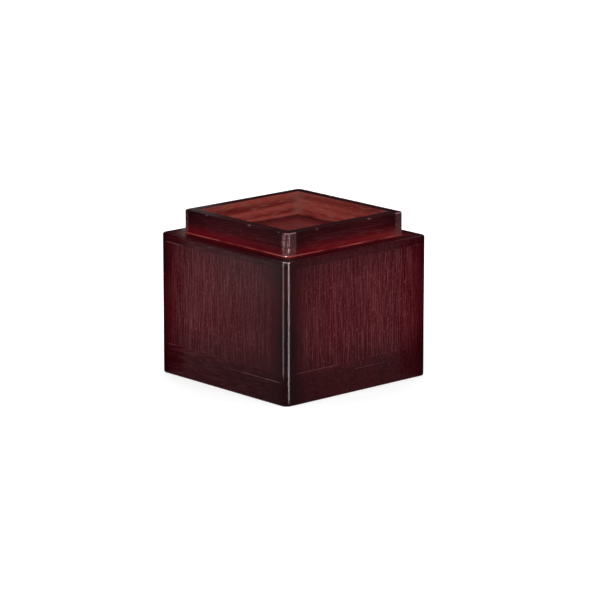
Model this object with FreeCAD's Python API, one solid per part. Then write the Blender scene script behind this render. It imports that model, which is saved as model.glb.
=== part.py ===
import FreeCAD, Part
import os

# Bed riser: a block of glued-up boards with a raised square rim on top, which keeps the foot of a bed leg in
# place. Millimetres, +Z up, origin at the middle of the underside.

# Driving dimensions of the plan
SOCKET_SIDE = 73.5          # clear square inside the rim, for the foot of the leg
RIM_THICKNESS = 6.5         # thickness of the rim's strips
LEDGE_WIDTH = 9.25          # from the rim's outer face to the side of the body
BODY_CORNER_RADIUS = 4.0    # rounding of the body's upright corners
RIM_CORNER_RADIUS = 3.0     # rounding of the rim's upright corners

# Driving heights, from the floor up
BASE_HEIGHT = 13.0          # thick board that stands on the floor
LOWER_PLATE_HEIGHT = 4.5    # thin board under the core
CORE_HEIGHT = 58.0          # upright-grained core
TOP_PLATE_HEIGHT = 4.5      # thin board that the leg stands on
RIM_RISE = 13.0             # how far the rim stands above the ledge

# Joint between the rim and the top plate
GROOVE_DEPTH = 1.5          # how deep the strips are let into the top plate
GLUE_GAP = 0.1              # clearance between a strip and each side of its groove

# Softened edges
JOINT_EASING = 0.25         # bevel on both edges of each seam between boards
FOOT_EDGE_RADIUS = 0.8      # rounding of the lowest edge
LEDGE_EDGE_RADIUS = 1.0     # rounding of the ledge's outer edge
RIM_EDGE_RADIUS = 0.7       # rounding of the rim's upper edges

# Sizes and levels that follow from the driving dimensions
RIM_SIDE = SOCKET_SIDE + 2 * RIM_THICKNESS
BODY_SIDE = RIM_SIDE + 2 * LEDGE_WIDTH
LOWER_PLATE_LEVEL = BASE_HEIGHT
CORE_LEVEL = LOWER_PLATE_LEVEL + LOWER_PLATE_HEIGHT
TOP_PLATE_LEVEL = CORE_LEVEL + CORE_HEIGHT
LEDGE_LEVEL = TOP_PLATE_LEVEL + TOP_PLATE_HEIGHT
GROOVE_LEVEL = LEDGE_LEVEL - GROOVE_DEPTH
RIM_LEVEL = LEDGE_LEVEL + RIM_RISE

SAME_HEIGHT = 1e-6          # tolerance for finding the edges that lie at a level


def block(length, width, height, level):
    """A sharp-edged block, centred on the Z axis, standing at a level."""
    corner = FreeCAD.Vector(-length / 2, -width / 2, level)
    return Part.makeBox(length, width, height, corner)


def rounded_block(side, corner_radius, height, level):
    """A square block with its four upright corners rounded."""
    blank = block(side, side, height, level)
    upright = [edge for edge in blank.Edges if edge.BoundBox.ZLength > SAME_HEIGHT]
    return blank.makeFillet(corner_radius, upright)


def edges_at(shape, level):
    """The edges that lie flat at a level."""
    return [
        edge for edge in shape.Edges
        if edge.BoundBox.ZLength < SAME_HEIGHT and abs(edge.CenterOfMass.z - level) < SAME_HEIGHT
    ]


def bevelled(shape, level):
    """Ease the edges at a seam with the small bevel that shows as a fine line."""
    return shape.makeChamfer(JOINT_EASING, edges_at(shape, level))


def softened(shape, level, radius):
    """Round the edges at a level."""
    return shape.makeFillet(radius, edges_at(shape, level))


def board(height, level):
    """One layer of the body, with the body's outline."""
    return rounded_block(BODY_SIDE, BODY_CORNER_RADIUS, height, level)


def base_board():
    """The thick lowest board: rounded where it meets the floor, eased at the seam above."""
    layer = bevelled(board(BASE_HEIGHT, 0), BASE_HEIGHT)
    return softened(layer, 0, FOOT_EDGE_RADIUS)


def seamed_board(height, level):
    """A layer with a seam both below and above it."""
    layer = bevelled(board(height, level), level)
    return bevelled(layer, level + height)


def square_ring(outer_side, corner_radius, inner_side, height, level):
    """A square frame: rounded corners outside, sharp corners inside."""
    outer = rounded_block(outer_side, corner_radius, height, level)
    return outer.cut(block(inner_side, inner_side, height, level))


def top_plate():
    """The upper board: its rounded ledge, and the groove that takes the foot of the rim."""
    layer = bevelled(board(TOP_PLATE_HEIGHT, TOP_PLATE_LEVEL), TOP_PLATE_LEVEL)
    layer = softened(layer, LEDGE_LEVEL, LEDGE_EDGE_RADIUS)
    groove = square_ring(
        RIM_SIDE + 2 * GLUE_GAP,
        RIM_CORNER_RADIUS + GLUE_GAP,
        SOCKET_SIDE - 2 * GLUE_GAP,
        GROOVE_DEPTH,
        GROOVE_LEVEL,
    )
    return layer.cut(groove)


def rim_strips():
    """The rim: two long strips that run through, and two short ones butted between them.

    The edges are rounded on the glued-up ring, so that they run on across the joints, and the ring is then
    parted into its strips at the socket's two long sides.
    """
    height = RIM_LEVEL - GROOVE_LEVEL
    ring = square_ring(RIM_SIDE, RIM_CORNER_RADIUS, SOCKET_SIDE, height, GROOVE_LEVEL)
    ring = softened(ring, RIM_LEVEL, RIM_EDGE_RADIUS)
    long_blank = block(RIM_THICKNESS, RIM_SIDE, height, GROOVE_LEVEL)
    short_blank = block(SOCKET_SIDE, RIM_THICKNESS, height, GROOVE_LEVEL)
    offset = (SOCKET_SIDE + RIM_THICKNESS) / 2
    places = {
        "left_rim_strip": (long_blank, FreeCAD.Vector(-offset, 0, 0)),
        "right_rim_strip": (long_blank, FreeCAD.Vector(offset, 0, 0)),
        "front_rim_strip": (short_blank, FreeCAD.Vector(0, -offset, 0)),
        "back_rim_strip": (short_blank, FreeCAD.Vector(0, offset, 0)),
    }
    return {name: ring.common(blank.translated(move)) for name, (blank, move) in places.items()}


pieces = {
    "base_board": base_board(),
    "lower_plate": seamed_board(LOWER_PLATE_HEIGHT, LOWER_PLATE_LEVEL),
    "core_block": seamed_board(CORE_HEIGHT, CORE_LEVEL),
    "top_plate": top_plate(),
    **rim_strips(),
}

os.makedirs("parts", exist_ok=True)
for name, shape in pieces.items():
    shape.exportStep(f"parts/{name}.step")
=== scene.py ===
"""Boards, rim, lacquer and stage of a wooden bed riser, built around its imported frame."""

import math

import bmesh
import bpy
from bpy.props import FloatProperty, FloatVectorProperty, IntProperty, PointerProperty
from mathutils import Color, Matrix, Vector, noise


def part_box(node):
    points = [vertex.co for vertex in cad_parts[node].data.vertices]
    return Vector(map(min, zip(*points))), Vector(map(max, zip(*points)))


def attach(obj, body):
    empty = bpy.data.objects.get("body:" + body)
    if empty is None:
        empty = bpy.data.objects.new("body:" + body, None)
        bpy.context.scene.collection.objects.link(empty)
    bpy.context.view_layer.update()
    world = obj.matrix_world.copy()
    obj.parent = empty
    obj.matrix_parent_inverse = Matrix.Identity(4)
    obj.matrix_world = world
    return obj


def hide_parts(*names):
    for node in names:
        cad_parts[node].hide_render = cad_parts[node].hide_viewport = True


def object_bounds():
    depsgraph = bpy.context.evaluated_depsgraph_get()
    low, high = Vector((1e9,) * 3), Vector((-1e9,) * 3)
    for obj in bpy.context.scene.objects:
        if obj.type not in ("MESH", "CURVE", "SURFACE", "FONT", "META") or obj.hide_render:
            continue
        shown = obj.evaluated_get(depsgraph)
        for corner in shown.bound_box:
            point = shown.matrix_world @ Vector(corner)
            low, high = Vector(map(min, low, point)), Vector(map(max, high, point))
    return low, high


bl_info = {
    "name": "Bed riser",
    "version": (1, 0, 0),
    "blender": (4, 5, 0),
    "location": "3D View > Sidebar > Bed riser",
    "description": "Boards, rim, lacquer and stage of a wooden bed riser",
    "category": "Object",
}

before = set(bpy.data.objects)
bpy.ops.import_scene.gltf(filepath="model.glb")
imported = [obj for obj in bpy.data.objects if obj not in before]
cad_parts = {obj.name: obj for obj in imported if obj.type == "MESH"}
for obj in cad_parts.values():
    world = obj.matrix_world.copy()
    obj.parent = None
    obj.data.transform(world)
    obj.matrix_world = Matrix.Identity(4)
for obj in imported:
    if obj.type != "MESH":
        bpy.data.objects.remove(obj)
CAD_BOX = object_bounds()

# Files, names and small tolerances
BODY = "root"
MM = 0.001
MM_PER_METRE = 1000.0
SAME_PLACE = 0.000005
BYTE_MAX = 255
ROUND_PROFILE = 0.5
KEEP_MATERIAL = -1
SHARP_ANGLE = math.radians(35)
X, Y, Z = 0, 1, 2
# Mesh attribute of the worn places: rubbed spots and ends on the rim, and the open stretches of seam, where
# the paler colour is a painted highlight on the bevel
WEAR_AND_SEAM_HIGHLIGHT = "worn"

# Settings that many nodes share, and the sockets of a Mix node, whose own names repeat
SMOOTH = {"interpolation_type": "SMOOTHSTEP"}
VALUE_MIX = {"data_type": "FLOAT"}
COLOUR_MIX = {"data_type": "RGBA", "out": 2}
FIRST_VALUE, SECOND_VALUE = 2, 3
UNDER, OVER = 6, 7
WHITE = (1.0, 1.0, 1.0, 1.0)
BLACK = (0.0, 0.0, 0.0, 1.0)

# Stretches of seam where the groove stays open and its bevel is painted paler as a painted highlight: seam,
# side of the block, start and end in millimetres, how far open
OPEN_STRETCHES = (
    ("base", "-X", -49.0, -17.0, 1.0),
    ("base", "-X", -20.0, -6.0, 0.3),
    ("base", "-Y", -4.0, 23.0, 0.25),
    ("base", "+X", -30.0, 18.0, 0.8),
    ("base", "+Y", 12.0, 47.0, 0.9),
    ("lower", "-X", 19.0, 26.0, 0.3),
    ("lower", "-X", 36.0, 48.0, 0.4),
    ("lower", "-Y", -46.0, -13.0, 0.4),
    ("lower", "+X", 30.0, 46.0, 0.6),
    ("lower", "+Y", -40.0, -8.0, 0.7),
    ("top", "-X", 33.0, 48.0, 0.8),
    ("top", "-Y", 40.0, 47.0, 0.4),
    ("top", "+X", -46.0, -22.0, 0.6),
    ("top", "+Y", -10.0, 14.0, 0.5),
)
STRETCH_END_MM = 4.0

# Rubbed spots on the rim's upper edge: place along the strip, half width and depth in millimetres
RUBBED_SPOTS = {
    "left_rim_strip": ((23.5, 0.7, 0.22), (-12.0, 1.6, 0.08), (-36.0, 0.6, 0.16)),
    "right_rim_strip": ((-20.0, 0.8, 0.20), (9.0, 1.6, 0.08), (31.0, 0.6, 0.22)),
    "front_rim_strip": ((-21.5, 0.7, 0.16), (17.0, 1.5, 0.08)),
    "back_rim_strip": ((-6.0, 0.7, 0.20), (24.0, 1.4, 0.10)),
}
RUB_REACH = 0.9 * MM
RUB_CUTS = (-1.0, -0.5, 0.0, 0.5, 1.0)

# How far in from the sides the sanding reaches, in widths of the ledge's rounding
SAND_REACH = 2.0

# Height of a cell in the two thin plates, as a share of the usual one
THIN_CELL = 0.5


def ramp(start, end, first, last):
    """A change for a Map Range node, by socket: where it starts and ends, and its value at both ends."""
    return {1: start, 2: end, 3: first, 4: last}


# Sizes of one fibre and one short fleck of the grain, in millimetres along X, Y and Z
CORE_GRAIN = ((0.45, 0.45, 15.0), (0.5, 0.5, 2.4))
BOARD_GRAIN = ((0.42, 14.0, 2.0), (0.6, 6.0, 0.9))
LONG_STRIP_GRAIN = ((0.5, 16.0, 0.4), (1.0, 7.0, 0.7))
SHORT_STRIP_GRAIN = ((16.0, 0.5, 0.4), (7.0, 1.0, 0.7))
BAND_RATIO = (9.0, 9.0, 8.0)
CLOUD_MM = (16.0, 16.0, 24.0)

# Noise settings of the grain, and what is made of each noise
FIBRE_NOISE = {"Scale": 1.0, "Detail": 3.0, "Roughness": 0.62}
FLECK_NOISE = {"Scale": 1.0, "Detail": 1.0, "Roughness": 0.5}
BAND_NOISE = {"Scale": 1.0, "Detail": 2.0, "Roughness": 0.5}
CLOUD_NOISE = {"Scale": 1.0, "Detail": 2.0, "Roughness": 0.45}
PALE_FIBRE = ramp(0.47, 0.68, 0.0, 0.75)
PALE_FLECK = ramp(0.58, 0.74, 0.0, 1.0)
DARK_BAND = ramp(0.28, 0.52, 0.28, 0.0)
CLOUD_SHIFT = ramp(0.3, 0.7, -3.5, 3.5)
FIBRE_SHEEN = ramp(0.3, 0.7, 0.28, 0.19)
STRIP_SHEEN = ramp(0.3, 0.7, 0.42, 0.32)
WORN_FIBRE = ramp(0.30, 0.55, 0.35, 1.0)

# How much of the pale grain and of the gloss the boards and strips show
BOARD_PALE = 0.6
LEDGE_PALE = ramp(50.5, 52.0, 0.25, 1.0)
STRIP_GLOSS = 0.4

# Looks of the rim's strips: grain, pale fibres, red left at the top, thin stain at the foot, cut ends
LONG_STRIP_LOOK = {
    "sizes": LONG_STRIP_GRAIN, "pale": 0.5, "top_left": 0.34, "foot_glow": 0.03, "end_grained": True}
SHORT_STRIP_LOOK = {
    "sizes": SHORT_STRIP_GRAIN, "pale": 0.55, "top_left": 0.30, "foot_glow": 0.14, "end_grained": False}

# How much red is left under the dark spray, over millimetres of the block
CORNER_FADE = ramp(42.0, 58.0, 1.0, 0.0)
# Lean of the spray towards the corner that faces the camera: partly spray, partly painted reflection, the
# far corners kept redder as where little white is reflected in the lacquer
SPRAY_AND_REFLECTION_LEAN = (-1.4, -0.6, 0.0)
LEAN_SHARE = 0.03
OVERSPRAY_AND_REFLECTION = ramp(60.0, 105.0, 1.0, 0.5)
COVERED_FIBRE = ramp(37.0, 48.0, 1.0, 0.08)
CORE_TOP_FADE = ramp(62.0, 75.5, 1.0, 0.72)
CORE_FOOT_FADE = ramp(17.5, 34.0, 0.62, 1.0)
UPPER_BOARD = ramp(40.0, 41.0, 0.0, 1.0)
BASE_FADE = ramp(12.0, 18.0, 0.44, 0.62)
LEDGE_FADE = ramp(44.5, 51.5, 0.95, 0.50)
RIM_TOP_REACH = (80.5, 92.0)
RIM_CORNER_FADE = ramp(18.0, 40.0, 1.0, 0.5)
RIM_SIDE_FADE = ramp(-5.0, 20.0, 1.0, 1.3)

# Where the stain is thin and the wood glows through: rim's foot, socket's walls and floor, and ledge; the
# socket floor's glow drops towards the walls as painted shade
RIM_FOOT_GLOW = ramp(80.2, 86.5, 1.0, 0.0)
FOOT_RED_SHARE = 0.75
FOOT_LEAN_FADE = ramp(46.0, 84.0, 1.0, 0.45)
FOOT_SIDE_GLOW = ramp(-10.0, 22.0, 0.35, 1.2)
SOCKET_WALL_GLOW = ramp(36.8, 37.4, 0.85, 0.0)
SOCKET_WALL_RISE = ramp(81.0, 92.0, 1.0, 0.65)
WALL_STREAK = ramp(0.50, 0.72, 0.0, 0.6)
WALL_BAND = ramp(0.35, 0.60, 0.75, 0.0)
WALL_CORNER = ramp(29.0, 36.7, 0.0, 0.55)
SOCKET_FLOOR_GLOW_AND_SHADE = ramp(22.0, 36.7, 0.16, 0.02)
SOCKET_EDGE = ramp(36.9, 37.4, 1.0, 0.0)
LEDGE_GLOW = ramp(43.4, 48.0, 0.45, 0.0)

# Cut ends of the long strips, and where the bead shows its paler colour, which is partly a painted
# highlight
END_GRAIN_REACH = ramp(38.4, 39.6, 0.0, 1.0)
END_GRAIN_TURN = ramp(0.3, 0.8, 1.0, 0.0)
END_GRAIN_FADE = ramp(83.0, 91.0, 1.0, 0.7)
END_GRAIN_TICKS = ramp(0.42, 0.60, 0.12, 1.0)
BEAD_CLOUDS = ramp(0.36, 0.62, 0.15, 1.0)


def linear(hex_colour):
    """Turn an sRGB hex value into linear red, green and blue."""
    channels = [value / BYTE_MAX for value in bytes.fromhex(hex_colour.lstrip("#"))]
    return tuple(Color(channels).from_srgb_to_scene_linear())


# What all colour properties have in common
COLOUR = {"size": 3, "subtype": "COLOR", "min": 0.0, "max": 1.0}


class RiserShape(bpy.types.PropertyGroup):
    """Roundings and small irregularities of the boards."""

    body_corner: FloatProperty(
        name="Body corner", description="Rounding of the body's upright corners",
        default=4.0 * MM, unit="LENGTH")
    rim_corner: FloatProperty(
        name="Rim corner", description="Rounding of the rim's upright corners",
        default=3.0 * MM, unit="LENGTH")
    seam_easing: FloatProperty(
        name="Seam easing", description="Bevel on both edges of a seam between boards",
        default=0.25 * MM, unit="LENGTH")
    foot_edge: FloatProperty(
        name="Foot edge", description="Rounding of the lowest edge",
        default=0.8 * MM, unit="LENGTH")
    ledge_edge: FloatProperty(
        name="Ledge edge", description="Rounding of the ledge's outer edge",
        default=1.0 * MM, unit="LENGTH")
    rim_edge: FloatProperty(
        name="Rim edge", description="Rounding of the rim's upper edges",
        default=0.7 * MM, unit="LENGTH")
    groove_gap: FloatProperty(
        name="Groove gap", description="Clearance between a strip and each side of its groove",
        default=0.1 * MM, unit="LENGTH")
    bead: FloatProperty(
        name="Lacquer bead", description="Height of the hollow bead of glue along the rim's foot",
        default=0.65 * MM, unit="LENGTH")
    cell: FloatProperty(
        name="Mesh cell", description="Spacing of the cuts that let the surface wander",
        default=4.0 * MM, unit="LENGTH")
    wander: FloatProperty(
        name="Sanding depth", description="How far hand sanding takes the sides in",
        default=0.07 * MM, unit="LENGTH")
    wander_size: FloatProperty(
        name="Sanding length", description="Length of one wave left by the sanding",
        default=26.0 * MM, unit="LENGTH")
    corner_steps: IntProperty(
        name="Corner steps", description="Facets in an upright corner", default=8)
    edge_steps: IntProperty(
        name="Edge steps", description="Facets in a small rounded edge", default=3)


class RiserFinish(bpy.types.PropertyGroup):
    """Colours and gloss of the stained and lacquered wood."""

    red_stain: FloatVectorProperty(
        name="Red stain", description="Stain on the open faces",
        default=linear("#3f050d"), **COLOUR)
    pale_fibre: FloatVectorProperty(
        name="Pale fibre", description="Fibres that took less stain",
        default=linear("#6c383e"), **COLOUR)
    dark_spray: FloatVectorProperty(
        name="Dark spray", description="Shading colour sprayed along corners and edges",
        default=linear("#110406"), **COLOUR)
    thin_stain: FloatVectorProperty(
        name="Thin stain", description="Places where little stain covers the wood",
        default=linear("#ac4c42"), **COLOUR)
    foot_red: FloatVectorProperty(
        name="Foot red", description="Stain that stays clear red along the rim's foot",
        default=linear("#5e0410"), **COLOUR)
    end_grain: FloatVectorProperty(
        name="End grain", description="Cut ends of the strips",
        default=linear("#5a3c3e"), **COLOUR)
    # Paler colour of the glue and lacquer bead, partly a painted highlight along the bead
    bead_colour_and_highlight: FloatVectorProperty(
        name="Bead", description="Glue and lacquer along the rim's foot",
        default=linear("#8a3e39"), **COLOUR)
    bare_wood: FloatVectorProperty(
        name="Bare wood", description="Streaks and corners in the socket that took almost no stain",
        default=linear("#a06a60"), **COLOUR)
    # Paler colour of rubbed-through edges and spots; along the open seams it is a painted highlight on the
    # bevel
    worn_edge_and_seam_highlight: FloatVectorProperty(
        name="Worn edge", description="Seams and edges where the finish is rubbed through",
        default=linear("#8c6069"), **COLOUR)
    gloss: FloatProperty(
        name="Gloss", description="Specular level of the satin lacquer",
        default=0.03, min=0.0, max=1.0, subtype="FACTOR")
    relief: FloatProperty(
        name="Grain relief", description="Height of the grain under the lacquer",
        default=0.02 * MM, unit="LENGTH")


class RiserStage(bpy.types.PropertyGroup):
    """Camera, lamps and floor."""

    lens: FloatProperty(
        name="Lens", description="Focal length of the camera",
        default=210.0, subtype="DISTANCE_CAMERA")
    camera_turn: FloatProperty(
        name="Camera turn", description="Camera's place round the block, from the front strip's side",
        default=math.radians(-42.03), unit="ROTATION")
    camera_rise: FloatProperty(
        name="Camera rise", description="Camera's height above the horizon",
        default=math.radians(13.46), unit="ROTATION")
    camera_distance: FloatProperty(
        name="Camera distance", description="From the aim to the camera",
        default=1.9467, unit="LENGTH")
    camera_aim: FloatVectorProperty(
        name="Camera aim", description="Point that the camera looks at",
        default=(0.0027, -0.00243, 0.04203), size=3, subtype="XYZ", unit="LENGTH")
    lamp_power: FloatProperty(
        name="Softbox power", description="Power of each of the two upright softboxes",
        default=5.6, unit="POWER")
    fill_level: FloatProperty(
        name="Fill", description="Brightness of the room around the block",
        default=0.20, min=0.0, max=1.0, subtype="FACTOR")
    paper_colour: FloatVectorProperty(
        name="Paper", description="Colour of the floor",
        default=linear("#b4b4b4"), **COLOUR)
    paper_glow: FloatProperty(
        name="Paper glow", description="How much of the floor's white the eye is given outright",
        default=0.66, min=0.0, max=1.0, subtype="FACTOR")


# Helpers for nodes and materials


def add(tree, kind, inputs=None, out=0, **settings):
    """Add one node, set it, fill or link its inputs, and give one of its outputs."""
    node = tree.nodes.new("ShaderNode" + kind)
    for name, value in settings.items():
        setattr(node, name, value)
    for key, value in (inputs or {}).items():
        if isinstance(value, bpy.types.NodeSocket):
            tree.links.new(value, node.inputs[key])
        else:
            node.inputs[key].default_value = value
    return node.outputs[out] if node.outputs else None


def opaque(colour):
    """A property's colour with full alpha, as a node's socket takes it."""
    return (*colour, 1.0)


def empty_tree(owner):
    """The cleared node tree of a new material or room."""
    owner.use_nodes = True
    owner.node_tree.nodes.clear()
    return owner.node_tree


def start_finish(name):
    """A new material, its empty tree and the place on the block in millimetres."""
    material = bpy.data.materials.new(name)
    tree = empty_tree(material)
    metres = add(tree, "TexCoord", out="Object")
    place = add(tree, "VectorMath", {0: metres, "Scale": MM_PER_METRE}, operation="SCALE")
    return material, tree, place


def whereabouts(tree, place):
    """How near a point is to an upright corner, how far out from the middle, and how high."""
    flipped = add(tree, "VectorMath", {0: place}, operation="ABSOLUTE")
    x, y, z = add(tree, "SeparateXYZ", {0: flipped}).node.outputs
    near_corner = add(tree, "Math", {0: x, 1: y}, operation="MINIMUM")
    outward = add(tree, "Math", {0: x, 1: y}, operation="MAXIMUM")
    return near_corner, outward, z


def grain(tree, place, sizes):
    """Fine fibres, short flecks, broad bands and cloudy stain of one board, each from 0 to 1."""
    fibre, fleck = sizes
    band = [size * ratio for size, ratio in zip(fibre, BAND_RATIO)]
    layers = ((fibre, FIBRE_NOISE), (fleck, FLECK_NOISE), (band, BAND_NOISE), (CLOUD_MM, CLOUD_NOISE))
    patterns = []
    for size, settings in layers:
        scaled = add(tree, "VectorMath", {0: place, 1: size}, operation="DIVIDE")
        patterns.append(add(tree, "TexNoise", {"Vector": scaled, **settings}))
    return patterns


def stained(tree, finish, fibres, flecks, bands, share):
    """Red stain with a share of pale fibres and flecks, and darker bands."""
    lines = add(tree, "MapRange", {0: fibres, **PALE_FIBRE})
    dashes = add(tree, "MapRange", {0: flecks, **PALE_FLECK})
    both = add(tree, "Math", {0: lines, 1: dashes}, operation="MAXIMUM")
    pale = add(tree, "Math", {0: both, 1: share}, operation="MULTIPLY")
    dark = add(tree, "MapRange", {0: bands, **DARK_BAND})
    red, paler = opaque(finish.red_stain), opaque(finish.pale_fibre)
    wood = add(tree, "Mix", {0: pale, UNDER: red, OVER: paler}, **COLOUR_MIX)
    return add(tree, "Mix", {0: dark, UNDER: wood, OVER: opaque(finish.dark_spray)}, **COLOUR_MIX)


def leaning(tree, place):
    """How far a point lies towards the corner that is darkened most, partly by spray and partly by painted
    reflection.
    """
    return add(tree, "VectorMath", {0: place, 1: SPRAY_AND_REFLECTION_LEAN}, out="Value", operation="DOT_PRODUCT")


def corner_spray(tree, place, near_corner, clouds):
    """How much red and how many pale fibres are left towards the upright corners.

    The spray has a cloudy edge, and reaches wider at the corner that faces the camera: partly spray, partly
    painted reflection, which keeps the far corners redder.
    """
    lean = leaning(tree, place)
    shift = add(tree, "MapRange", {0: clouds, **CLOUD_SHIFT})
    moved = add(tree, "Math", {0: lean, 1: LEAN_SHARE, 2: shift}, operation="MULTIPLY_ADD")
    drifted = add(tree, "Math", {0: near_corner, 1: moved}, operation="ADD")
    edge = add(tree, "MapRange", {0: drifted, **CORNER_FADE}, **SMOOTH)
    wide = add(tree, "MapRange", {0: lean, **OVERSPRAY_AND_REFLECTION})
    fibres_left = add(tree, "MapRange", {0: near_corner, **COVERED_FIBRE})
    return add(tree, "Math", {0: edge, 1: wide}, operation="MULTIPLY"), fibres_left


def lacquered(tree, finish, colour, fibres, sheen=FIBRE_SHEEN, share=1.0):
    """Satin lacquer over the colour, with the grain's faint relief and the piece's worn places painted
    paler, which along the seams is a painted highlight.
    """
    # The paler worn colour: real wear on the rim's edges, a painted highlight on the seams' bevels
    worn = add(tree, "Attribute", out="Fac", attribute_name=WEAR_AND_SEAM_HIGHLIGHT)
    broken = add(tree, "MapRange", {0: fibres, **WORN_FIBRE})
    bare = add(tree, "Math", {0: worn, 1: broken}, operation="MULTIPLY")
    shown = add(tree, "Mix", {0: bare, UNDER: colour, OVER: opaque(finish.worn_edge_and_seam_highlight)}, **COLOUR_MIX)
    rough = add(tree, "MapRange", {0: fibres, **sheen})
    relief = add(tree, "Bump", {"Height": fibres, "Distance": finish.relief, "Strength": 1.0})
    surface = add(tree, "BsdfPrincipled", {
        "Base Color": shown,
        "Roughness": rough,
        "Specular IOR Level": finish.gloss * share,
        "Normal": relief,
    })
    add(tree, "OutputMaterial", {"Surface": surface})


def core_wood(finish, name):
    """Upright hardwood, red stain sprayed dark towards corners, top and foot, satin lacquer.

    The eye gets fine upright pale dashes on deep red, which sinks to near black along the corners.
    """
    material, tree, place = start_finish(name)
    near_corner, _, height = whereabouts(tree, place)
    fibres, flecks, bands, clouds = grain(tree, place, CORE_GRAIN)
    corner, fibres_left = corner_spray(tree, place, near_corner, clouds)
    top = add(tree, "MapRange", {0: height, **CORE_TOP_FADE}, **SMOOTH)
    foot = add(tree, "MapRange", {0: height, **CORE_FOOT_FADE}, **SMOOTH)
    ends = add(tree, "Math", {0: top, 1: foot}, operation="MULTIPLY")
    left = add(tree, "Math", {0: corner, 1: ends}, operation="MULTIPLY")
    wood = stained(tree, finish, fibres, flecks, bands, fibres_left)
    colour = add(tree, "Mix", {0: left, UNDER: opaque(finish.dark_spray), OVER: wood}, **COLOUR_MIX)
    lacquered(tree, finish, colour, fibres)
    return material


def board_wood(finish, name):
    """Level hardwood boards, red stain sprayed dark on their edges, satin lacquer.

    The eye gets short end-grain ticks on two sides, smooth long grain on the others, a dark base, a ledge
    that reddens towards the rim, and a red socket floor, warmer in its middle, with painted shade towards
    its walls.
    """
    material, tree, place = start_finish(name)
    near_corner, outward, height = whereabouts(tree, place)
    fibres, flecks, bands, clouds = grain(tree, place, BOARD_GRAIN)
    corner, fibres_left = corner_spray(tree, place, near_corner, clouds)
    upper = add(tree, "MapRange", {0: height, **UPPER_BOARD})
    inside = add(tree, "MapRange", {0: outward, **SOCKET_EDGE})

    base = add(tree, "MapRange", {0: height, **BASE_FADE}, **SMOOTH)
    ledge = add(tree, "MapRange", {0: outward, **LEDGE_FADE}, **SMOOTH)
    level = add(tree, "Mix", {0: upper, FIRST_VALUE: base, SECOND_VALUE: ledge}, **VALUE_MIX)
    left = add(tree, "Math", {0: corner, 1: level}, operation="MULTIPLY")
    ledge_pale = add(tree, "MapRange", {0: outward, **LEDGE_PALE})
    level_pale = add(tree, "Mix", {0: inside, FIRST_VALUE: ledge_pale, SECOND_VALUE: 1.0}, **VALUE_MIX)
    board_pale = add(tree, "Math", {0: level_pale, 1: BOARD_PALE}, operation="MULTIPLY")
    pale = add(tree, "Math", {0: fibres_left, 1: board_pale}, operation="MULTIPLY")
    wood = stained(tree, finish, fibres, flecks, bands, pale)
    sprayed = add(tree, "Mix", {0: left, UNDER: opaque(finish.dark_spray), OVER: wood}, **COLOUR_MIX)

    # Less thin stain on the socket floor towards its walls: painted shade at the walls' foot
    floor_glow_and_shade = add(tree, "MapRange", {0: outward, **SOCKET_FLOOR_GLOW_AND_SHADE}, **SMOOTH)
    ledge_glow = add(tree, "MapRange", {0: outward, **LEDGE_GLOW}, **SMOOTH)
    glow = add(tree, "Mix", {0: inside, FIRST_VALUE: ledge_glow, SECOND_VALUE: floor_glow_and_shade}, **VALUE_MIX)
    reached = add(tree, "Math", {0: glow, 1: upper}, operation="MULTIPLY")
    red, thin = opaque(finish.foot_red), opaque(finish.thin_stain)
    warm = add(tree, "Mix", {0: inside, UNDER: red, OVER: thin}, **COLOUR_MIX)
    colour = add(tree, "Mix", {0: reached, UNDER: sprayed, OVER: warm}, **COLOUR_MIX)
    lacquered(tree, finish, colour, fibres)
    return material


def socket_wall(tree, finish, near_corner, flecks, bands):
    """Thin stain of the socket's walls, with redder bands and barer streaks and corners."""
    streak = add(tree, "MapRange", {0: flecks, **WALL_STREAK})
    bare_corner = add(tree, "MapRange", {0: near_corner, **WALL_CORNER}, **SMOOTH)
    bare = add(tree, "Math", {0: streak, 1: bare_corner}, operation="MAXIMUM")
    band = add(tree, "MapRange", {0: bands, **WALL_BAND})
    thin, red = opaque(finish.thin_stain), opaque(finish.foot_red)
    banded = add(tree, "Mix", {0: band, UNDER: thin, OVER: red}, **COLOUR_MIX)
    return add(tree, "Mix", {0: bare, UNDER: banded, OVER: opaque(finish.bare_wood)}, **COLOUR_MIX)


def cut_ends(tree, finish, place, height, fibres, colour):
    """Paler, greyer wood with upright ticks, over the colour on a long strip's upright ends."""
    flipped = add(tree, "VectorMath", {0: place}, operation="ABSOLUTE")
    along = add(tree, "SeparateXYZ", {0: flipped}, out=Y)
    near_end = add(tree, "MapRange", {0: along, **END_GRAIN_REACH})
    normal = add(tree, "NewGeometry", out="Normal")
    upward = add(tree, "SeparateXYZ", {0: normal}, out=Z)
    upright = add(tree, "MapRange", {0: upward, **END_GRAIN_TURN})
    cut_end = add(tree, "Math", {0: near_end, 1: upright}, operation="MULTIPLY")
    faded = add(tree, "MapRange", {0: height, **END_GRAIN_FADE})
    shown = add(tree, "Math", {0: cut_end, 1: faded}, operation="MULTIPLY")
    tick = add(tree, "MapRange", {0: fibres, **END_GRAIN_TICKS})
    ticks = add(tree, "Math", {0: shown, 1: tick}, operation="MULTIPLY")
    return add(tree, "Mix", {0: ticks, UNDER: colour, OVER: opaque(finish.end_grain)}, **COLOUR_MIX)


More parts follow.
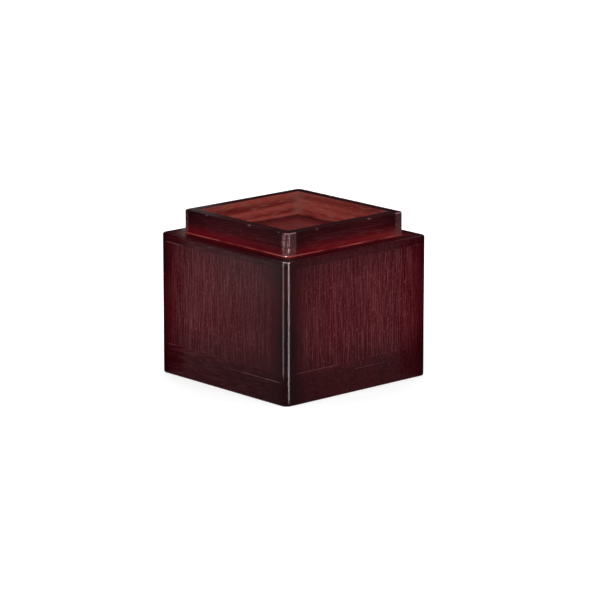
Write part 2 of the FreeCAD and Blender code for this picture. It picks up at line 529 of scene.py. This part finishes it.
def strip_wood(finish, name, sizes, pale, top_left, foot_glow, end_grained):
    """Hardwood strips with the grain along them, dark along the top and glowing at the foot, satin lacquer.

    The eye gets level streaks, a dark rubbed upper edge, saturated red low down, warm socket walls, and on
    the cut ends of the long strips paler, greyer wood with upright ticks.
    """
    material, tree, place = start_finish(name)
    near_corner, outward, height = whereabouts(tree, place)
    across = add(tree, "SeparateXYZ", {0: place}, out=X)
    fibres, flecks, bands, _ = grain(tree, place, sizes)

    top = add(tree, "MapRange", {0: height, **ramp(*RIM_TOP_REACH, 1.0, top_left)}, **SMOOTH)
    corner = add(tree, "MapRange", {0: near_corner, **RIM_CORNER_FADE}, **SMOOTH)
    side = add(tree, "MapRange", {0: across, **RIM_SIDE_FADE})
    ends = add(tree, "Math", {0: corner, 1: side}, operation="MULTIPLY")
    left = add(tree, "Math", {0: top, 1: ends}, operation="MULTIPLY")
    wood = stained(tree, finish, fibres, flecks, bands, pale)
    sprayed = add(tree, "Mix", {0: left, UNDER: opaque(finish.dark_spray), OVER: wood}, **COLOUR_MIX)

    foot = add(tree, "MapRange", {0: height, **RIM_FOOT_GLOW}, **SMOOTH)
    along_foot = add(tree, "MapRange", {0: leaning(tree, place), **FOOT_LEAN_FADE}, **SMOOTH)
    bright_foot = add(tree, "Math", {0: foot, 1: along_foot}, operation="MULTIPLY")
    clear = add(tree, "Math", {0: bright_foot, 1: FOOT_RED_SHARE}, operation="MULTIPLY")
    reddened = add(tree, "Mix", {0: clear, UNDER: sprayed, OVER: opaque(finish.foot_red)}, **COLOUR_MIX)

    side_glow = add(tree, "MapRange", {0: across, **FOOT_SIDE_GLOW})
    thin_foot = add(tree, "Math", {0: bright_foot, 1: side_glow}, operation="MULTIPLY")
    low = add(tree, "Math", {0: thin_foot, 1: foot_glow}, operation="MULTIPLY")
    wall = add(tree, "MapRange", {0: outward, **SOCKET_WALL_GLOW}, **SMOOTH)
    lit = add(tree, "MapRange", {0: height, **SOCKET_WALL_RISE})
    inside = add(tree, "Math", {0: wall, 1: lit}, operation="MULTIPLY")
    glow = add(tree, "Math", {0: low, 1: inside}, operation="MAXIMUM")
    thin = socket_wall(tree, finish, near_corner, flecks, bands)
    colour = add(tree, "Mix", {0: glow, UNDER: reddened, OVER: thin}, **COLOUR_MIX)
    if end_grained:
        colour = cut_ends(tree, finish, place, height, fibres, colour)
    lacquered(tree, finish, colour, fibres, STRIP_SHEEN, STRIP_GLOSS)
    return material


def bead_lacquer(finish, name):
    """Glue and lacquer gathered in the angle under the rim: a thin, warm, slightly paler line, partly a
    painted highlight.
    """
    material, tree, place = start_finish(name)
    fibres, _, _, clouds = grain(tree, place, BOARD_GRAIN)
    # Where the paler bead colour shows: glue, and partly a painted highlight
    pale_bead_and_highlight = add(tree, "MapRange", {0: clouds, **BEAD_CLOUDS})
    red, paler = opaque(finish.red_stain), opaque(finish.bead_colour_and_highlight)
    colour = add(tree, "Mix", {0: pale_bead_and_highlight, UNDER: red, OVER: paler}, **COLOUR_MIX)
    lacquered(tree, finish, colour, fibres, STRIP_SHEEN, STRIP_GLOSS)
    return material


def finish_of(name, maker, **look):
    """A finish by name, made when the first piece asks for it."""
    return bpy.data.materials.get(name) or maker(bpy.context.scene.riser_finish, name, **look)


# Names and makers of the boards' finishes
LEVEL_WOOD = ("red_stained_level_hardwood", board_wood)
UPRIGHT_WOOD = ("red_stained_upright_hardwood", core_wood)


# Helpers for meshes


def start_block(low, high):
    """A mesh block that fills a box."""
    body = bmesh.new()
    body.verts.layers.float.new(WEAR_AND_SEAM_HIGHLIGHT)
    bmesh.ops.create_cube(body, size=1.0)
    bmesh.ops.scale(body, vec=high - low, verts=body.verts)
    bmesh.ops.translate(body, vec=(low + high) / 2, verts=body.verts)
    return body


def edges_where(body, test):
    """The edges whose two ends both pass a test."""
    return [edge for edge in body.edges if all(test(vert.co) for vert in edge.verts)]


def at(axis, place):
    """A test for points at a place along an axis."""
    return lambda point: abs(point[axis] - place) < SAME_PLACE


def upright_edges(body):
    """The edges that stand upright."""
    return [edge for edge in body.edges if abs(edge.verts[0].co.z - edge.verts[1].co.z) > SAME_PLACE]


def round_edges(body, edges, radius, steps):
    """Round or bevel edges."""
    bmesh.ops.bevel(
        body, geom=edges, offset=radius, offset_type="OFFSET", affect="EDGES", segments=steps,
        profile=ROUND_PROFILE, material=KEEP_MATERIAL, clamp_overlap=False)


def round_level(body, level, radius, steps=1):
    """Round all edges at a level, or bevel them in one step."""
    round_edges(body, edges_where(body, at(Z, level)), radius, steps)


def slice_up(body, axis, places):
    """Cut the surface at places along an axis, without opening it."""
    across = Vector((0.0, 0.0, 0.0))
    across[axis] = 1.0
    for place in places:
        whole = body.verts[:] + body.edges[:] + body.faces[:]
        bmesh.ops.bisect_plane(body, geom=whole, dist=SAME_PLACE, plane_co=across * place, plane_no=across)


def even_places(start, end, step):
    """Places between two ends, about a step apart, without the ends."""
    count = max(1, round((end - start) / step))
    return [start + (end - start) * index / count for index in range(1, count)]


def outline(point, half, radius):
    """How far a point is outside a rounded square, and the way straight out of it."""
    over = Vector((abs(point.x) - half + radius, abs(point.y) - half + radius, 0.0))
    beyond = Vector((max(over.x, 0.0), max(over.y, 0.0), 0.0))
    distance = beyond.length + min(max(over.x, over.y), 0.0) - radius
    way = beyond if beyond.length > SAME_PLACE else Vector((over.x > over.y, over.x <= over.y, 0.0))
    way.normalize()
    return distance, Vector((math.copysign(way.x, point.x), math.copysign(way.y, point.y), 0.0))


def openness(point, seam):
    """How open a seam is at a point: 1 where the groove shows fully, 0 where lacquer fills it."""
    facing = X if abs(point.x) > abs(point.y) else Y
    side = ("-" if point[facing] < 0 else "+") + "XY"[facing]
    along = point[Y if facing == X else X] / MM
    shown = 0.0
    for name, face, start, end, most in OPEN_STRETCHES:
        if (name, face) == (seam, side):
            inside = min(along - start, end - along) / STRETCH_END_MM
            shown = max(shown, most * min(max(inside, 0.0), 1.0))
    return shown


def fill_seam(body, level, seam, half, shape):
    """Push the seam's bevel back out where lacquer fills it, and mark the rest for the paler worn colour,
    which there is a painted highlight on the bevel.
    """
    worn = body.verts.layers.float[WEAR_AND_SEAM_HIGHLIGHT]
    for vert in body.verts:
        if abs(vert.co.z - level) > SAME_PLACE:
            continue
        distance, way = outline(vert.co, half, shape.body_corner)
        if abs(distance + shape.seam_easing) < shape.seam_easing / 2:
            vert[worn] = openness(vert.co, seam)
            vert.co += way * shape.seam_easing * (1.0 - vert[worn])


def sand(body, half, shape):
    """Take the sides in a little, in long shallow waves, as hand sanding does."""
    for vert in body.verts:
        distance, way = outline(vert.co, half, shape.body_corner)
        if distance > -SAND_REACH * shape.ledge_edge:
            wave = (1.0 + noise.noise(vert.co / shape.wander_size)) / 2
            vert.co -= way * shape.wander * wave


def add_piece(body, name, node, material):
    """Make a finished object of a mesh, which rides on the block and may stand for a node."""
    bmesh.ops.recalc_face_normals(body, faces=body.faces)
    mesh = bpy.data.meshes.new(name)
    body.to_mesh(mesh)
    body.free()
    mesh.materials.append(material)
    mesh.shade_smooth()
    mesh.set_sharp_from_angle(angle=SHARP_ANGLE)
    piece = bpy.data.objects.new(name, mesh)
    bpy.context.scene.collection.objects.link(piece)
    evened = piece.modifiers.new("even_shading", "WEIGHTED_NORMAL")
    evened.keep_sharp = True
    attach(piece, BODY)
    if node:
        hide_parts(node)


def board_blank(node, shape):
    """A board with the body's outline, its upright corners rounded."""
    low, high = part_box(node)
    body = start_block(low, high)
    round_edges(body, upright_edges(body), shape.body_corner, shape.corner_steps)
    return body, low, high


def finish_board(body, node, wood, rows, seams, shape):
    """Cut a board into cells, fill its seams, sand its sides and make a piece of it."""
    _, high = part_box(node)
    flat = high.x - shape.body_corner
    slice_up(body, X, even_places(-flat, flat, shape.cell))
    slice_up(body, Y, even_places(-flat, flat, shape.cell))
    slice_up(body, Z, rows)
    for seam, level in seams.items():
        fill_seam(body, level, seam, high.x, shape)
    sand(body, high.x, shape)
    add_piece(body, node + "_wood", node, finish_of(*wood))


def seamed_board(node, wood, cell, lower_seam, upper_seam, shape):
    """A whole board with a seam both below and above it."""
    body, low, high = board_blank(node, shape)
    round_level(body, low.z, shape.seam_easing)
    round_level(body, high.z, shape.seam_easing)
    seams = {lower_seam: low.z, upper_seam: high.z}
    finish_board(body, node, wood, even_places(low.z, high.z, cell), seams, shape)


class BuildBaseBoard(bpy.types.Operator):
    """Thick board that stands on the floor"""

    bl_idname = "bed_riser.base_board"
    bl_label = "Base board"

    def execute(self, context):
        shape = context.scene.riser_shape
        body, low, high = board_blank("base_board", shape)
        round_level(body, high.z, shape.seam_easing)
        round_level(body, low.z, shape.foot_edge, shape.edge_steps)
        rows = even_places(low.z + shape.foot_edge, high.z, shape.cell)
        finish_board(body, "base_board", LEVEL_WOOD, rows, {"base": high.z}, shape)
        return {"FINISHED"}


class BuildLowerPlate(bpy.types.Operator):
    """Thin board between the base and the core"""

    bl_idname = "bed_riser.lower_plate"
    bl_label = "Lower plate"

    def execute(self, context):
        shape = context.scene.riser_shape
        cell = shape.cell * THIN_CELL
        seamed_board("lower_plate", LEVEL_WOOD, cell, "base", "lower", shape)
        return {"FINISHED"}


class BuildCoreBlock(bpy.types.Operator):
    """Upright-grained core of the block"""

    bl_idname = "bed_riser.core_block"
    bl_label = "Core block"

    def execute(self, context):
        shape = context.scene.riser_shape
        seamed_board("core_block", UPRIGHT_WOOD, shape.cell, "lower", "top", shape)
        return {"FINISHED"}


def rounded_loop(body, half, radius, steps, level):
    """The open edge loop of a rounded square at a level."""
    made = bmesh.ops.create_grid(body, x_segments=1, y_segments=1, size=half)["verts"]
    bmesh.ops.translate(body, vec=Vector((0.0, 0.0, level)), verts=made)
    face = made[0].link_faces[0]
    if radius:
        made = bmesh.ops.bevel(
            body, geom=made, offset=radius, offset_type="OFFSET", affect="VERTICES", segments=steps,
            profile=ROUND_PROFILE, material=KEEP_MATERIAL, clamp_overlap=False)["verts"]
        face = max(made[0].link_faces, key=lambda one: len(one.verts))
    edges = face.edges[:]
    bmesh.ops.delete(body, geom=[face], context="FACES_ONLY")
    return edges


def join_loops(body, first, second):
    """Faces between two loops round the Z axis, which have equally many points.

    The points are paired by angle, because the bridge operator twists level loops that lie in each other.
    """
    rings = []
    for edges in (first, second):
        points = {vert for edge in edges for vert in edge.verts}
        rings.append(sorted(points, key=lambda vert: math.atan2(vert.co.y, vert.co.x)))
    near, far = rings
    for index in range(len(near)):
        body.faces.new((near[index - 1], near[index], far[index], far[index - 1]))


class BuildTopPlate(bpy.types.Operator):
    """Thin upper board with its rounded ledge, the rim's groove and the socket's floor"""

    bl_idname = "bed_riser.top_plate"
    bl_label = "Top plate"

    def execute(self, context):
        shape = context.scene.riser_shape
        body, low, high = board_blank("top_plate", shape)
        rim_low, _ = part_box("left_rim_strip")
        _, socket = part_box("front_rim_strip")
        round_level(body, low.z, shape.seam_easing)
        round_level(body, high.z, shape.ledge_edge, shape.edge_steps)
        lid = max(body.faces, key=lambda face: face.calc_center_median().z)
        rim_of_lid = lid.edges[:]
        bmesh.ops.delete(body, geom=[lid], context="FACES_ONLY")
        half, gap, steps = -rim_low.x, shape.groove_gap, shape.corner_steps
        outer = rounded_loop(body, half + gap, shape.rim_corner + gap, steps, high.z)
        outer_floor = rounded_loop(body, half + gap, shape.rim_corner + gap, steps, rim_low.z)
        inner_floor = rounded_loop(body, socket.x - gap, gap, steps, rim_low.z)
        inner = rounded_loop(body, socket.x - gap, gap, steps, high.z)
        loops = (rim_of_lid, outer, outer_floor, inner_floor, inner)
        for first, second in zip(loops, loops[1:]):
            join_loops(body, first, second)
        bmesh.ops.edgeloop_fill(body, edges=inner)
        bmesh.ops.recalc_face_normals(body, faces=body.faces)
        rows = even_places(low.z, high.z - shape.ledge_edge, shape.cell * THIN_CELL)
        finish_board(body, "top_plate", LEVEL_WOOD, rows, {"top": low.z}, shape)
        return {"FINISHED"}


def rub(body, node, along, outer_axis, outer_place, top):
    """Wear small hollows into a strip's upper outer edge."""
    spots = [tuple(value * MM for value in spot) for spot in RUBBED_SPOTS[node]]
    slice_up(body, Z, (top - RUB_REACH,))
    slice_up(body, outer_axis, (outer_place - math.copysign(RUB_REACH, outer_place),))
    for place, reach, _ in spots:
        slice_up(body, along, [place + reach * share for share in RUB_CUTS])
    worn = body.verts.layers.float[WEAR_AND_SEAM_HIGHLIGHT]
    for vert in body.verts:
        for place, reach, depth in spots:
            nearness = 1.0 - abs(vert.co[along] - place) / reach
            below = (top - vert.co.z) / RUB_REACH
            inward = abs(outer_place - vert.co[outer_axis]) / RUB_REACH
            edge = 1.0 - max(below, inward)
            if nearness > 0.0 and edge > 0.0:
                vert.co.z -= depth * nearness * edge
                vert.co[outer_axis] -= math.copysign(depth * nearness * edge, outer_place)
                vert[worn] = max(vert[worn], nearness * edge)


def wear_ends(body, ends, top, shape):
    """Mark the rounded upper edge at a strip's cut ends as worn."""
    worn = body.verts.layers.float[WEAR_AND_SEAM_HIGHLIGHT]
    for vert in body.verts:
        below = top - vert.co.z
        if abs(vert.co.y) > ends - shape.rim_corner and SAME_PLACE < below < shape.rim_edge - SAME_PLACE:
            vert[worn] = 1.0


def long_strip_corners(body, outer, high):
    """A long strip's two upright edges at the rim's outer corners."""
    outside = [edge for edge in upright_edges(body) if at(X, outer)(edge.verts[0].co)]
    return [edge for edge in outside if abs(abs(edge.verts[0].co.y) - high.y) < SAME_PLACE]


def long_strip_top(body, inner, joint, high):
    """A long strip's upper edges that are rounded: all but the butt joints and the cuts across it."""
    rounded = []
    for edge in edges_where(body, at(Z, high.z)):
        start, end = (vert.co for vert in edge.verts)
        past_joint = max(abs(start.y), abs(end.y)) > joint + SAME_PLACE
        butted = past_joint and at(X, inner)(start) and at(X, inner)(end)
        cut_across = at(Y, start.y)(end) and abs(start.y) < high.y - SAME_PLACE
        if not butted and not cut_across:
            rounded.append(edge)
    return rounded


class BuildLongStrips(bpy.types.Operator):
    """The rim's two long strips, which run through at the corners"""

    bl_idname = "bed_riser.long_strips"
    bl_label = "Long rim strips"

    def execute(self, context):
        shape = context.scene.riser_shape
        material = finish_of("red_stained_long_strip", strip_wood, **LONG_STRIP_LOOK)
        _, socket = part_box("front_rim_strip")
        for node in ("left_rim_strip", "right_rim_strip"):
            low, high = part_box(node)
            outer, inner = (low.x, high.x) if low.x < 0 else (high.x, low.x)
            body = start_block(low, high)
            slice_up(body, Y, (-socket.x, socket.x))
            round_edges(body, long_strip_corners(body, outer, high), shape.rim_corner, shape.corner_steps)
            round_edges(body, long_strip_top(body, inner, socket.x, high), shape.rim_edge, shape.edge_steps)
            slice_up(body, Y, even_places(-socket.x, socket.x, shape.cell))
            slice_up(body, Z, even_places(low.z, high.z - shape.rim_edge, shape.cell))
            rub(body, node, Y, X, outer, high.z)
            wear_ends(body, high.y, high.z, shape)
            add_piece(body, node + "_wood", node, material)
        return {"FINISHED"}


class BuildShortStrips(bpy.types.Operator):
    """The rim's two short strips, butted between the long ones"""

    bl_idname = "bed_riser.short_strips"
    bl_label = "Short rim strips"

    def execute(self, context):
        shape = context.scene.riser_shape
        material = finish_of("red_stained_short_strip", strip_wood, **SHORT_STRIP_LOOK)
        for node in ("front_rim_strip", "back_rim_strip"):
            low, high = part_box(node)
            outer = low.y if low.y < 0 else high.y
            body = start_block(low, high)
            upper = edges_where(body, at(Z, high.z))
            lengthwise = [edge for edge in upper if at(Y, edge.verts[0].co.y)(edge.verts[1].co)]
            round_edges(body, lengthwise, shape.rim_edge, shape.edge_steps)
            slice_up(body, X, even_places(low.x, high.x, shape.cell))
            slice_up(body, Z, even_places(low.z, high.z - shape.rim_edge, shape.cell))
            rub(body, node, X, Y, outer, high.z)
            add_piece(body, node + "_wood", node, material)
        return {"FINISHED"}


class BuildBeads(bpy.types.Operator):
    """Hollow beads of glue and lacquer along the rim's foot, outside and in the socket"""

    bl_idname = "bed_riser.beads"
    bl_label = "Lacquer beads"

    def execute(self, context):
        shape = context.scene.riser_shape
        material = finish_of("stained_glue_and_lacquer", bead_lacquer)
        rim_low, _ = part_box("left_rim_strip")
        _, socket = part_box("front_rim_strip")
        _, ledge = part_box("top_plate")

        # The section, as steps out from the wall and up from the ledge, is hollow in its middle
        size, sunk = shape.bead, shape.groove_gap / 2
        hollow = size * (1.0 - math.sqrt(0.5))
        section = ((-sunk, size), (hollow, hollow), (size, -sunk), (-sunk, -sunk))
        places = (
            ("outer_bead_lacquer", -rim_low.x, 1.0, shape.rim_corner),
            ("socket_bead_lacquer", socket.x, -1.0, 0.0),
        )
        for name, wall, way, corner in places:
            body = bmesh.new()
            loops = []
            for out, rise in section:
                half = wall + way * out
                radius = corner + out if corner else 0.0
                loops.append(rounded_loop(body, half, radius, shape.corner_steps, ledge.z + rise))
            for first, second in zip(loops, loops[1:] + loops[:1]):
                join_loops(body, first, second)
            add_piece(body, name, None, material)
        return {"FINISHED"}


# Stage: floor, room and softboxes
FLOOR_HALF_SIZE = 12.0
FLOOR_DROP = 0.1 * MM
PAPER_SPREAD = (0.06, 0.15)
HORIZON_GLOW = ramp(0.10, 0.19, 1.0, 0.0)
AIM_HEIGHT = 0.045
SOFTBOX_SIZE = (0.28, 0.75)
SOFTBOX_DISTANCE = 0.85
SOFTBOX_MIDDLE = 0.40
SOFTBOX_TURN = math.radians(40)
BACK_SIZE = (0.9, 0.9)
BACK_DISTANCE = 1.3
BACK_RISE = math.radians(48)
BACK_POWER_SHARE = 1.6

# Narrow lamps for the bright lines on the near upright corners: turn from the camera, power, foot's height
EDGE_STRIP_WIDTH = 0.003
EDGE_STRIP_DISTANCE = 0.013
BODY_STRIPS = {"left": (math.radians(-64), 0.012, 0.014), "right": (math.radians(44), 0.034, 0.0)}
BODY_STRIP_SPREAD = math.radians(50)
RIM_STRIPS = {"left": (math.radians(-90), 0.0015, 0.085), "right": (math.radians(28), 0.0034, 0.08)}
RIM_STRIP_SPREAD = math.radians(40)

# Small lamps for the bright spots on the ledge's near corner: turn from the camera, power
GLINTS = {"left": (math.radians(-58), 0.19), "right": (math.radians(44), 0.034)}
GLINT_SPREAD = math.radians(20)
GLINT_SIZE = (0.02, 0.02)
GLINT_DISTANCE = 0.09
GLINT_RISE = math.radians(48)

# Small lamp whose reflection veils the upper part of the left face
SHEEN_SIZE = (0.045, 0.05)
SHEEN_POWER = 0.014
SHEEN_DISTANCE = 0.2
SHEEN_PLACE = -0.016
SHEEN_SPREAD = math.pi

# Black cards that keep white out of the lacquer, at the far ends of the front faces and behind the rim
LEFT_FLAG_START = 0.034
RIGHT_FLAG_START = 0.032
FLAG_DISTANCE = 0.014
FLAG_WIDTH = 0.03
BACK_CARDS = {"back_card": (-0.085, 0.046), "ledge_card": (0.066, 0.10)}
BACK_CARD_DISTANCE = 0.11
BACK_CARD_HEIGHT = 0.22


def direction(turn, rise):
    """The way from the block to a place round it; no turn is the front strip's side."""
    return Vector((math.sin(turn) * math.cos(rise), -math.cos(turn) * math.cos(rise), math.sin(rise)))


def matt_paper(stage):
    """Matt white studio paper: the eye and the lacquer see it white, with the block's soft shadow on it."""
    material = bpy.data.materials.new("matt_white_paper")
    tree = empty_tree(material)
    ray = add(tree, "LightPath").node.outputs
    eye = add(tree, "Math", {0: ray["Is Camera Ray"], 1: ray["Is Glossy Ray"]}, operation="MAXIMUM")
    seen = add(tree, "Math", {0: eye, 1: ray["Is Transmission Ray"]}, operation="MAXIMUM")
    place = add(tree, "TexCoord", out="Object")
    away = add(tree, "VectorMath", {0: place}, out="Value", operation="LENGTH")
    level = add(tree, "MapRange", {0: away, **ramp(*PAPER_SPREAD, stage.paper_glow, 1.0)}, **SMOOTH)
    glow = add(tree, "Math", {0: seen, 1: level}, operation="MULTIPLY")
    surface = add(tree, "BsdfPrincipled", {
        "Base Color": opaque(stage.paper_colour),
        "Roughness": 1.0,
        "Specular IOR Level": 0.0,
        "Emission Color": WHITE,
        "Emission Strength": glow,
    })
    add(tree, "OutputMaterial", {"Surface": surface})
    return material


def black_felt():
    """Black felt, which gives the lacquer nothing to reflect."""
    material = bpy.data.materials.new("black_felt")
    tree = empty_tree(material)
    surface = add(tree, "BsdfDiffuse", {"Color": BLACK})
    add(tree, "OutputMaterial", {"Surface": surface})
    return material


def stage_sheet(name, sheet, material):
    """Make a sheet an object in the scene, beside the block and not parented to it."""
    mesh = bpy.data.meshes.new(name)
    sheet.to_mesh(mesh)
    sheet.free()
    mesh.materials.append(material)
    laid = bpy.data.objects.new(name, mesh)
    bpy.context.scene.collection.objects.link(laid)
    return laid


def lay_floor(stage):
    """A wide sheet of paper, a hair below the block's underside."""
    sheet = bmesh.new()
    bmesh.ops.create_grid(sheet, x_segments=1, y_segments=1, size=FLOOR_HALF_SIZE)
    bmesh.ops.translate(sheet, vec=Vector((0.0, 0.0, -FLOOR_DROP)), verts=sheet.verts)
    stage_sheet("paper_floor", sheet, matt_paper(stage))


def build_room(stage):
    """A plain grey room that fills the shadows, and is white in a low band behind the floor."""
    room = bpy.data.worlds.new("plain_room")
    tree = empty_tree(room)
    way = add(tree, "TexCoord", out="Generated")
    rise = add(tree, "SeparateXYZ", {0: way}, out=Z)
    band = add(tree, "MapRange", {0: rise, **HORIZON_GLOW}, **SMOOTH)
    level = add(tree, "Mix", {0: band, FIRST_VALUE: stage.fill_level, SECOND_VALUE: 1.0}, **VALUE_MIX)
    surface = add(tree, "Background", {"Color": WHITE, "Strength": level})
    add(tree, "OutputWorld", {"Surface": surface})
    bpy.context.scene.world = room


def set_up(thing, place, way):
    """Put a lamp or the camera at a place, turned along a way."""
    thing.location = place
    thing.rotation_mode = "QUATERNION"
    thing.rotation_quaternion = way.to_track_quat("-Z", "Y")
    bpy.context.scene.collection.objects.link(thing)


def soft_lamp(name, size, power, place, target):
    """A rectangular softbox at a place, turned to a target."""
    light = bpy.data.lights.new(name, "AREA")
    light.shape = "RECTANGLE"
    light.size, light.size_y = size
    light.energy = power
    lamp = bpy.data.objects.new(name, light)
    lamp.visible_camera = False
    set_up(lamp, place, target - place)
    return lamp


def light_room(stage):
    """Two upright softboxes beside the camera and a wide one high behind the block."""
    middle = Vector((0.0, 0.0, AIM_HEIGHT))
    for name, side in (("left", -1.0), ("right", 1.0)):
        turn = stage.camera_turn + side * SOFTBOX_TURN
        place = direction(turn, 0.0) * SOFTBOX_DISTANCE + Vector((0.0, 0.0, SOFTBOX_MIDDLE))
        soft_lamp(name + "_softbox", SOFTBOX_SIZE, stage.lamp_power, place, middle)
    behind = direction(stage.camera_turn + math.pi, BACK_RISE) * BACK_DISTANCE
    soft_lamp("back_softbox", BACK_SIZE, stage.lamp_power * BACK_POWER_SHARE, behind, middle)


def edge_lamp(name, size, power, target, away, spread):
    """A small lamp that shows only as a reflection in the lacquer."""
    lamp = soft_lamp(name, size, power, target + away, target)
    lamp.visible_diffuse = False
    lamp.data.spread = spread


def light_corner(name, corner, strips, rise, spread, stage):
    """Two strip lamps close to the near corner of the body or the rim, upright or leaning back."""
    for side, (turn, power, foot) in strips.items():
        height = CAD_BOX[1].z - foot
        target = Vector((corner.x, corner.y, foot + height / 2))
        away = direction(stage.camera_turn + turn, rise) * EDGE_STRIP_DISTANCE
        edge_lamp(f"{side}_{name}_strip", (EDGE_STRIP_WIDTH, height), power, target, away, spread)


def light_lacquer(stage):
    """The small lamps that draw the bright corners, the ledge's glints and the left face's veil.

    The rim's lamps lean back, so that their beams go up to the camera and miss the ledge.
    """
    body_corner, body_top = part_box("top_plate")
    rim_corner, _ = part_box("left_rim_strip")
    light_corner("body", body_corner, BODY_STRIPS, 0.0, BODY_STRIP_SPREAD, stage)
    light_corner("rim", rim_corner, RIM_STRIPS, -stage.camera_rise, RIM_STRIP_SPREAD, stage)

    ledge_corner = Vector((CAD_BOX[0].x, CAD_BOX[0].y, body_top.z))
    for name, (turn, power) in GLINTS.items():
        away = direction(stage.camera_turn + turn, GLINT_RISE) * GLINT_DISTANCE
        edge_lamp(name + "_glint", GLINT_SIZE, power, ledge_corner, away, GLINT_SPREAD)

    veiled = Vector((CAD_BOX[0].x, SHEEN_PLACE, body_top.z))
    near = direction(stage.camera_turn, stage.camera_rise)
    mirrored = Vector((near.x, -near.y, -near.z))
    edge_lamp("left_sheen", SHEEN_SIZE, SHEEN_POWER, veiled, mirrored * SHEEN_DISTANCE, SHEEN_SPREAD)


def black_card(name, felt, start, end, height):
    """A black card that stands on the floor between two points and that only the lacquer sees."""
    sheet = bmesh.new()
    foot = [sheet.verts.new(point) for point in (start, end)]
    grown = bmesh.ops.extrude_edge_only(sheet, edges=[sheet.edges.new(foot)])["geom"]
    upper = [one for one in grown if isinstance(one, bmesh.types.BMVert)]
    bmesh.ops.translate(sheet, vec=Vector((0.0, 0.0, height)), verts=upper)
    card = stage_sheet(name, sheet, felt)
    card.visible_camera = False
    card.visible_diffuse = False
    card.visible_shadow = False


def place_cards(stage):
    """Cards where the lacquer, seen from the camera, would reflect white paper."""
    felt = black_felt()
    near = direction(stage.camera_turn, 0.0)
    mirrored = Vector((near.x, -near.y, 0.0))
    sideways = Vector((mirrored.y, -mirrored.x, 0.0))
    left = Vector((CAD_BOX[0].x, LEFT_FLAG_START, 0.0)) + mirrored * FLAG_DISTANCE
    black_card("left_flag", felt, left, left + sideways * FLAG_WIDTH, CAD_BOX[1].z)
    right = Vector((RIGHT_FLAG_START, CAD_BOX[0].y, 0.0)) - mirrored * FLAG_DISTANCE
    black_card("right_flag", felt, right, right + sideways * FLAG_WIDTH, CAD_BOX[1].z)
    leftward = Vector((near.y, -near.x, 0.0))
    middle = -near * BACK_CARD_DISTANCE
    for name, (start, end) in BACK_CARDS.items():
        black_card(name, felt, middle + leftward * start, middle + leftward * end, BACK_CARD_HEIGHT)


def place_camera(stage):
    """The camera, which looks at its aim from its own place round the block."""
    camera = bpy.data.objects.new("camera", bpy.data.cameras.new("camera"))
    camera.data.lens = stage.lens
    back = direction(stage.camera_turn, stage.camera_rise)
    set_up(camera, Vector(stage.camera_aim) + back * stage.camera_distance, -back)
    bpy.context.scene.camera = camera


class BuildStage(bpy.types.Operator):
    """White paper floor, plain room, lamps, black cards and camera"""

    bl_idname = "bed_riser.stage"
    bl_label = "Stage"

    def execute(self, context):
        stage = context.scene.riser_stage
        context.scene.view_settings.view_transform = "Standard"
        lay_floor(stage)
        build_room(stage)
        light_room(stage)
        light_lacquer(stage)
        place_cards(stage)
        place_camera(stage)
        return {"FINISHED"}


class RiserPanel(bpy.types.Panel):
    """Sizes, colours and build steps of the bed riser"""

    bl_idname = "VIEW3D_PT_bed_riser"
    bl_label = "Bed riser"
    bl_space_type = "VIEW_3D"
    bl_region_type = "UI"
    bl_category = "Bed riser"

    def draw(self, context):
        for operator in OPERATORS:
            self.layout.operator(operator.bl_idname)
        for group in (context.scene.riser_shape, context.scene.riser_finish, context.scene.riser_stage):
            box = self.layout.box()
            for name in group.__annotations__:
                box.prop(group, name)


OPERATORS = (
    BuildBaseBoard,
    BuildLowerPlate,
    BuildCoreBlock,
    BuildTopPlate,
    BuildLongStrips,
    BuildShortStrips,
    BuildBeads,
    BuildStage,
)
CLASSES = (RiserShape, RiserFinish, RiserStage, *OPERATORS, RiserPanel)


def register():
    """Register the classes and give the scene its three groups of properties."""
    for one in CLASSES:
        bpy.utils.register_class(one)
    bpy.types.Scene.riser_shape = PointerProperty(type=RiserShape)
    bpy.types.Scene.riser_finish = PointerProperty(type=RiserFinish)
    bpy.types.Scene.riser_stage = PointerProperty(type=RiserStage)


def unregister():
    """Take the properties and classes away again."""
    del bpy.types.Scene.riser_stage
    del bpy.types.Scene.riser_finish
    del bpy.types.Scene.riser_shape
    for one in reversed(CLASSES):
        bpy.utils.unregister_class(one)


def main():
    """Build the riser and its stage."""
    register()
    bpy.ops.bed_riser.base_board()
    bpy.ops.bed_riser.lower_plate()
    bpy.ops.bed_riser.core_block()
    bpy.ops.bed_riser.top_plate()
    bpy.ops.bed_riser.long_strips()
    bpy.ops.bed_riser.short_strips()
    bpy.ops.bed_riser.beads()
    bpy.ops.bed_riser.stage()


if __name__ == "__main__":
    main()
